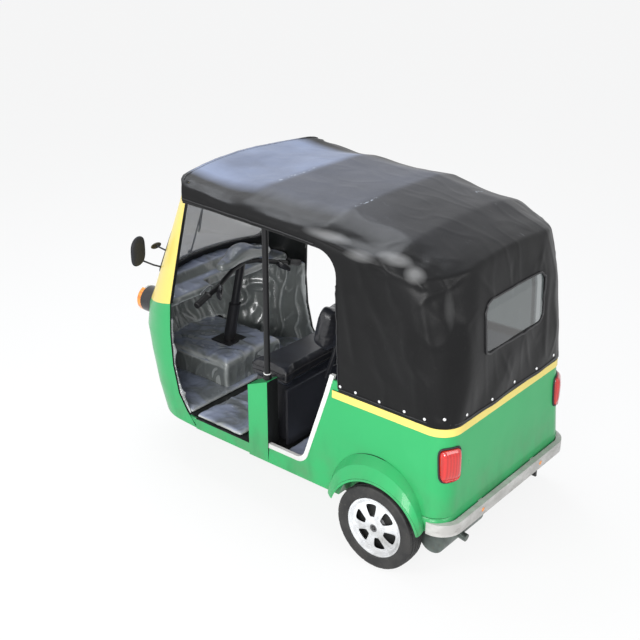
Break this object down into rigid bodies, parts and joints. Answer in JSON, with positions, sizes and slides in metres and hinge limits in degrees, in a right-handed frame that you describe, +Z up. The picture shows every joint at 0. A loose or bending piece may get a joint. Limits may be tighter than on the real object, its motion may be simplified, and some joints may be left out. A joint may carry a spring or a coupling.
{
  "type": "auto rickshaw",
  "caption": "Motor auto rickshaw with a canvas hood, open doorways, a driver's seat and a rear bench, a steered front wheel and driven rear wheels.",
  "frame": {"origin": "on the ground below the middle of the overall length and width", "axes": "+X forward, +Y to the driver's left, +Z up"},
  "size_m": [2.3598, 1.3, 1.71],
  "materials": {
    "body_green": "glossy green paint",
    "body_yellow": "glossy yellow paint",
    "trim_white": "white edge trim",
    "canvas_black": "coated black canvas",
    "vinyl_black": "black vinyl upholstery",
    "lining_black": "glossy black vinyl lining",
    "frame_black": "black enamel",
    "tube_black": "black enamel tube",
    "screen_glass": "tinted glass",
    "window_film": "clear vinyl window",
    "bumper_grey": "light grey paint, worn",
    "lamp_red": "red lens",
    "lamp_amber": "amber lens",
    "lamp_clear": "clear lens",
    "plastic_black": "black plastic",
    "plastic_matte": "matte black plastic",
    "engine_grey": "cast metal",
    "muffler_grey": "dull steel",
    "tyre_black": "tyre rubber",
    "wheel_white": "white wheel"
  },
  "bodies": {
    "chassis": {"apron_lining": "lining_black", "bench_back": "vinyl_black", "bench_base": "vinyl_black", "bench_cushion": "vinyl_black", "chassis_frame": "frame_black", "dashboard": "lining_black", "door_trim": "trim_white", "driver_seat_back": "vinyl_black", "driver_seat_base": "vinyl_black", "driver_seat_cushion": "vinyl_black", "engine_block": "engine_grey", "floor_mats": "lining_black", "floor_pan": "body_green", "front_apron": "body_green", "front_indicators": "lamp_amber", "front_wheelhouse": "lining_black", "headlamps": "lamp_clear", "hood_frame": "tube_black", "hood_rear": "canvas_black", "hood_roof": "canvas_black", "hood_sides": "canvas_black", "lamp_bezels": "plastic_black", "mirrors": "plastic_black", "muffler": "muffler_grey", "partition": "vinyl_black", "pillar_boxes": "body_green", "rear_arms": "frame_black", "rear_bumper": "bumper_grey", "rear_fenders": "body_green", "rear_tub": "body_green", "rear_window": "window_film", "steering_head": "frame_black", "tail_lamps": "lamp_red", "tow_eye": "frame_black", "waist_moulding": "body_yellow", "windshield_frame": "body_yellow", "windshield_glass": "screen_glass", "wiper": "plastic_matte"},
    "steering": {"front_fork": "frame_black", "front_mudguard": "plastic_matte", "handlebar": "tube_black", "handlebar_cover": "plastic_black"},
    "front_wheel": {"tyre_front": "tyre_black", "rim_front": "wheel_white"},
    "rear_left_wheel": {"tyre_rear_left": "tyre_black", "rim_rear_left": "wheel_white"},
    "rear_right_wheel": {"tyre_rear_right": "tyre_black", "rim_rear_right": "wheel_white"}
  },
  "joints": [
    {"name": "steering_turn", "type": "hinge", "parent": "chassis", "child": "steering", "pos_m": [0.86, 0, 0.225], "axis": [-0.225, 0, 0.9744], "range_deg": [-35, 35]},
    {"name": "front_wheel_spin", "type": "hinge", "parent": "steering", "child": "front_wheel", "pos_m": [0.87, 0, 0.225], "axis": [0, 1, 0], "continuous": true},
    {"name": "rear_left_wheel_spin", "type": "hinge", "parent": "chassis", "child": "rear_left_wheel", "pos_m": [-0.79, 0.592, 0.225], "axis": [0, 1, 0], "continuous": true},
    {"name": "rear_right_wheel_spin", "type": "hinge", "parent": "chassis", "child": "rear_right_wheel", "pos_m": [-0.79, -0.592, 0.225], "axis": [0, 1, 0], "continuous": true}
  ]
}
